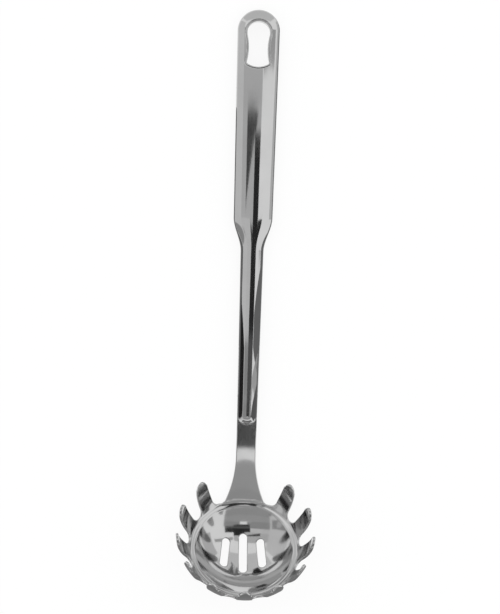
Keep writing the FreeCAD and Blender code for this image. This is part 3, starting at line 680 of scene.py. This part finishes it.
def slot_outline(x, length, half, lean):
    """Drain slot with round ends, as flat points, clockwise so that the sheet lies outside it."""
    reach = length / 2 - half
    upper = (x - reach * math.sin(lean), SLOT_SHIFT + reach * math.cos(lean))
    lower = (x + reach * math.sin(lean), SLOT_SHIFT - reach * math.cos(lean))
    ends = [arc_points(upper, half, lean, lean + math.pi, 0.35),
            arc_points(lower, half, lean + math.pi, lean + 2 * math.pi, 0.35)]
    sides = [mix(np.array(ends[0][-1]), np.array(ends[1][0]), spaced(0, 1, SPACING / reach)[:, None]),
             mix(np.array(ends[1][-1]), np.array(ends[0][0]), spaced(0, 1, SPACING / reach)[:, None])]
    plan = chain(ends[0], sides[0], ends[1], sides[1])
    radius = np.hypot(plan[:, 0], plan[:, 1])
    return (plan * (BOWL_INSIDE * np.arcsin(radius / BOWL_INSIDE) / radius)[:, None])[::-1]


def head_fill():
    """Flat points on rings round the bowl and tines, and in rows up the neck."""
    rings = []
    rim = spaced(EDGE_RUN, ROOT_RUN, 0.4)
    for run in np.concatenate([spaced(1.0, EDGE_RUN, 1.0), rim, spaced(ROOT_RUN, RUNS[-1], 0.8)]):
        count = max(6, round(2 * math.pi * run / 0.9))
        rings.append(polar_on_flat(run, np.linspace(0, 2 * math.pi, count, endpoint=False)))
    neck = np.array([(x, y) for y in spaced(-6, TANG_END, 0.8) for x in np.arange(-16, 16.1, 0.8)])
    neck = neck_on_flat(neck)
    past = (np.hypot(neck[:, 0], neck[:, 1]) > ROOT_RUN + 0.4) & (neck[:, 1] > 0)
    polar = np.vstack(rings)
    on_neck_side = np.abs(np.arctan2(polar[:, 1], polar[:, 0]) - math.pi / 2) < NECK_SECTOR
    beyond = (np.hypot(polar[:, 0], polar[:, 1]) > ROOT_RUN + 0.2) & on_neck_side
    return np.vstack([[(0.0, 0.0)], polar[~beyond], neck[past]])


def make_head(name):
    """The stamping: bowl, tines, slots, neck and tang."""
    loops = [(head_outline(), SHEET_EDGE), (slot_outline(0, SLOT_LENGTH, SLOT_HALF, 0), SHEET_EDGE)]
    for hand in (-1, 1):
        side = slot_outline(hand * SIDE_SLOT_OFFSET, SIDE_SLOT_LENGTH, SIDE_SLOT_HALF, hand * SIDE_SLOT_FAN)
        loops.append((side, SHEET_EDGE))
    return plate(name, head_place, head_under, loops, head_fill())


# Materials


def linear(hex_colour):
    """sRGB hex to linear RGBA."""
    values = [int(hex_colour[start:start + 2], 16) / 255 for start in (0, 2, 4)]
    return tuple(v / 12.92 if v <= 0.04045 else ((v + 0.055) / 1.055) ** 2.4 for v in values) + (1.0,)


def add_node(tree, kind, settings=None, **links):
    """Add a node, set its properties and inputs, and link inputs from other nodes' sockets."""
    node = tree.nodes.new(kind)
    for key, value in (settings or {}).items():
        if key in node.bl_rna.properties:
            setattr(node, key, value)
        else:
            node.inputs[key].default_value = value
    for key, socket in links.items():
        tree.links.new(socket, node.inputs[key.replace("_", " ")])
    return node


def polished_stainless(name, bright, dull, roughness, line_width, line_length, line_depth):
    """Stainless steel polished on a buffing wheel.

    The eye sees a grey mirror, hairlines left along the buffing direction, and faint hazy patches where
    hands and water have dulled it.
    """
    material = bpy.data.materials.new(name)
    material.use_nodes = True
    tree = material.node_tree
    tree.nodes.clear()
    place = add_node(tree, "ShaderNodeTexCoord")
    # Hairlines of real width would vanish, so they are drawn a few times as coarse
    stretch = (1 / (line_width * MM), 1 / (line_length * MM), 1 / (line_width * MM))
    along = add_node(tree, "ShaderNodeMapping", {"Scale": stretch}, Vector=place.outputs["Object"])
    hair = add_node(tree, "ShaderNodeTexNoise", {"Scale": 1.0, "Detail": 2.0, "Roughness": 0.6},
                    Vector=along.outputs["Vector"])
    # Haze in patches about 18 mm across
    haze = add_node(tree, "ShaderNodeTexNoise", {"Scale": 1 / (18 * MM), "Detail": 3.0, "Roughness": 0.55},
                    Vector=place.outputs["Object"])
    tone = add_node(tree, "ShaderNodeMix", {"data_type": "RGBA"})
    tone.inputs[6].default_value = linear(bright)
    tone.inputs[7].default_value = linear(dull)
    tree.links.new(haze.outputs["Fac"], tone.inputs[0])
    patches = {"From Min": 0.3, "From Max": 0.75, "To Min": roughness * 0.75, "To Max": roughness * 1.5}
    hazed = add_node(tree, "ShaderNodeMapRange", patches, Value=haze.outputs["Fac"])
    lines = {"From Min": 0.3, "From Max": 0.7, "To Min": 0.8, "To Max": 1.25}
    lined = add_node(tree, "ShaderNodeMapRange", lines, Value=hair.outputs["Fac"])
    rough = add_node(tree, "ShaderNodeMath", {"operation": "MULTIPLY"})
    tree.links.new(hazed.outputs["Result"], rough.inputs[0])
    tree.links.new(lined.outputs["Result"], rough.inputs[1])
    bump = add_node(tree, "ShaderNodeBump", {"Strength": 1.0, "Distance": line_depth * MM},
                    Height=hair.outputs["Fac"])
    steel = add_node(tree, "ShaderNodeBsdfPrincipled", {"Metallic": 1.0}, Base_Color=tone.outputs[2],
                     Roughness=rough.outputs["Value"], Normal=bump.outputs["Normal"])
    add_node(tree, "ShaderNodeOutputMaterial", Surface=steel.outputs["BSDF"])
    return material


def plain_glow(name, level):
    """Flat grey panel that shows at one level in the steel."""
    material = bpy.data.materials.new(name)
    material.use_nodes = True
    tree = material.node_tree
    tree.nodes.clear()
    glow = add_node(tree, "ShaderNodeEmission", {"Color": (level, level, level, 1), "Strength": 1.0})
    add_node(tree, "ShaderNodeOutputMaterial", Surface=glow.outputs["Emission"])
    return material


def white_floor():
    """Matt white board, lit through from below, so that the shadow on it is faint."""
    material = bpy.data.materials.new("matt_white_board")
    material.use_nodes = True
    tree = material.node_tree
    tree.nodes.clear()
    paint = add_node(tree, "ShaderNodeBsdfDiffuse", {"Color": linear("FBFBFB")})
    glow = add_node(tree, "ShaderNodeEmission", {"Color": (1, 1, 1, 1), "Strength": 1.0})
    board = add_node(tree, "ShaderNodeMixShader", {"Fac": 0.85})
    tree.links.new(paint.outputs["BSDF"], board.inputs[1])
    tree.links.new(glow.outputs["Emission"], board.inputs[2])
    add_node(tree, "ShaderNodeOutputMaterial", Surface=board.outputs["Shader"])
    return material


# Stage: floor, world and the panels that the steel mirrors


def stage_sheet(name, corners, material):
    mesh = bpy.data.meshes.new(name)
    mesh.from_pydata(corners, [], [(0, 1, 2, 3)])
    mesh.materials.append(material)
    thing = bpy.data.objects.new(name, mesh)
    bpy.context.scene.collection.objects.link(thing)
    return thing


def card(name, corners, level):
    """Grey card that is seen only in the steel."""
    thing = stage_sheet(name, corners, plain_glow(f"{name}_grey", level))
    thing.visible_camera = False
    thing.visible_shadow = False
    thing.visible_diffuse = False


def over(angle, y):
    """Place 1 m over the server, at an angle from straight up."""
    return math.tan(math.radians(angle)), y, 1.0


def hanging(name, low_angle, high_angle, low_y, high_y, level, distance=1.0):
    """Card over the server, between two angles from straight up and two places along it."""
    low, high = math.radians(low_angle), math.radians(high_angle)
    middle, half = (low + high) / 2, (high - low) / 2
    centre = Vector((math.sin(middle), 0, math.cos(middle))) * distance
    across = Vector((math.cos(middle), 0, -math.sin(middle))) * distance * math.tan(half)
    sides = ((-1, low_y), (1, low_y), (1, high_y), (-1, high_y))
    card(name, [centre + side * across + Vector((0, y, 0)) for side, y in sides], level)


def beside(name, x, low_y, high_y, high_z, level):
    """Upright card along one side of the shaft. Its ends slant, so that it fades in and out."""
    low_z, near_slant, far_slant = 0.004, 0.015, 0.030
    top = [(x, high_y - far_slant, high_z), (x, low_y + near_slant, high_z)]
    card(name, [(x, low_y, low_z), (x, high_y, low_z), *top], level)


def upright(name, y, high_z, level):
    """Wall across one end of the stage."""
    reach, low_z = 1.1, -0.1
    card(name, [(-reach, y, low_z), (reach, y, low_z), (reach, y, high_z), (-reach, y, high_z)], level)


def lying(name, low_x, high_x, low_y, high_y, level):
    """Card on the floor, which darkens the edges that mirror the floor."""
    lift = 0.0003
    near, far = [(low_x, low_y, lift), (high_x, low_y, lift)], [(high_x, high_y, lift), (low_x, high_y, lift)]
    card(name, near + far, level)


def make_stage():
    reach = 3.0
    corners = [(-reach, -reach, 0), (reach, -reach, 0), (reach, reach, 0), (-reach, reach, 0)]
    stage_sheet("floor", corners, white_floor())
    world = bpy.data.worlds.new("white_tent")
    bpy.context.scene.world = world
    world.use_nodes = True
    world.node_tree.nodes["Background"].inputs["Color"].default_value = (1, 1, 1, 1)
    world.node_tree.nodes["Background"].inputs["Strength"].default_value = 1.06

    # Grip, its round end and the shoulder: a dark stripe down the middle, and the dark shape left of it
    hanging("grip_flag", 0, 20, 0.07, 0.17, 0.03)
    card("grip_left_flag", [over(-36, 0.09), over(-31, 0.09), over(-11, 0.145), over(-46, 0.145)], 0.08)
    card("grip_wide_flag", [over(-46, 0.145), over(-11, 0.145), over(10, 0.190), over(-46, 0.210)], 0.08)
    hanging("loop_right_card", 22, 60, 0.235, 0.34, 0.50)
    hanging("shoulder_left_card", -90, -50, -0.36, -0.10, 0.38)
    # Shaft, nose and flat neck: the stripe goes on, grey over the nose, with a light band left of it
    hanging("shaft_flag", -10, 36, -0.052, 0.07, 0.03)
    hanging("nose_flag", -10, 36, -0.12, -0.052, 0.12)
    hanging("shaft_light", -46, -10, -0.06, 0.08, 0.74, 1.05)
    hanging("nose_left_card", -46, -10, -0.12, -0.06, 0.36, 1.05)
    hanging("neck_flag", -9, 20, -0.18, -0.12, 0.06)
    # Grey field in the neck and at the top of the bowl, with a light window in it
    hanging("near_card", -46, 38, -0.50, -0.27, 0.46)
    hanging("near_left_card", -46, -4, -0.27, -0.165, 0.38)
    hanging("near_right_card", 9, 38, -0.27, -0.165, 0.38)
    hanging("bowl_left_card", -46, -9, -0.165, -0.12, 0.38)
    hanging("bowl_right_card", 20, 38, -0.165, -0.12, 0.38)
    hanging("near_ceiling", -46, 38, -0.85, -0.50, 0.42)
    # The tent's own walls
    hanging("ceiling", -46, 20, -0.165, 0.5, 0.62, 1.1)
    hanging("left_wall", -118, -46, -0.9, 0.9, 0.78, 1.1)
    hanging("right_wall", 66, 112, 0.03, 0.9, 0.66, 1.1)
    upright("far_wall", 1.2, 1.1, 0.76)
    upright("near_wall", -1.2, 0.95, 0.20)
    # Both flanks of the shaft, and the lines along the edges
    beside("shaft_left_flag", -0.022, -0.079, 0.002, 0.024, 0.02)
    beside("shaft_right_card", 0.022, -0.042, 0.022, 0.034, 0.20)
    beside("shaft_right_light", 0.022, -0.060, -0.030, 0.034, 0.55)
    beside("nose_right_card", 0.021, -0.083, -0.048, 0.034, 0.15)
    lying("left_floor_card", -0.15, -0.0125, -0.075, 0.11, 0.20)
    lying("right_floor_card", 0.0125, 0.15, -0.075, 0.165, 0.20)
    lying("front_floor_card", -0.08, 0.08, -0.30, -0.15, 0.25)


# Camera: where the photograph was taken from, in the server's axes. Turns are in radians, PIXEL is the
# length in the server's plane of one pixel of the photograph, and its centre is in pixels.

PHOTO_WIDTH, PHOTO_HEIGHT = 500, 614
CAMERA_AIM = np.array([0.0, 111.0, 0.0])
CAMERA_DISTANCE = 1200.0
CAMERA_TURNS = (0.0077, 0.0396, -0.0302)
PIXEL = 0.567673
CENTRE_X, CENTRE_Y = 250.3, 308.42


def make_camera():
    turn_x, turn_y, turn_z = CAMERA_TURNS
    turned = Matrix.Rotation(turn_z, 3, "Z") @ Matrix.Rotation(turn_y, 3, "Y")
    turned = turned @ Matrix.Rotation(turn_x, 3, "X")
    data = bpy.data.cameras.new("photo_camera")
    data.sensor_fit = "VERTICAL"
    data.sensor_height = 36.0
    data.sensor_width = 36.0
    data.lens = data.sensor_height * CAMERA_DISTANCE / (PIXEL * PHOTO_HEIGHT)
    data.shift_x = (PHOTO_WIDTH / 2 - CENTRE_X) / PHOTO_HEIGHT
    data.shift_y = (CENTRE_Y - PHOTO_HEIGHT / 2) / PHOTO_HEIGHT
    data.clip_start, data.clip_end = 0.05, 20.0
    camera = bpy.data.objects.new("photo_camera", data)
    bpy.context.scene.collection.objects.link(camera)
    place = Vector(CAMERA_AIM + SHIFT) + CAMERA_DISTANCE * turned[2]
    camera.matrix_world = Matrix.Translation(place * MM) @ turned.transposed().to_4x4()
    bpy.context.scene.camera = camera


def dress(thing, node, material):
    """Put a piece in the place of its solid."""
    thing.data.materials.append(material)
    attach(thing, "root")
    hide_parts(node)


head_steel = polished_stainless("polished_stainless_sheet", "CACACA", "BDBDBD", 0.085, 0.35, 3.0, 0.0015)
shell_steel = polished_stainless("polished_stainless_pressing", "CACACA", "BCBCBC", 0.055, 0.22, 40.0, 0.0025)
liner_steel = polished_stainless("polished_stainless_sleeve", "D0D0D0", "C2C2C2", 0.14, 0.25, 2.0, 0.003)
dress(make_head("server_head_skin"), "server_head", head_steel)
dress(make_shell("handle_front_skin", 1), "handle_front_shell", shell_steel)
dress(make_shell("handle_back_skin", -1), "handle_back_shell", shell_steel)
dress(make_liner("hanging_hole_sleeve"), "hanging_hole_liner", liner_steel)
make_stage()
make_camera()
bpy.context.scene.view_settings.view_transform = "Standard"
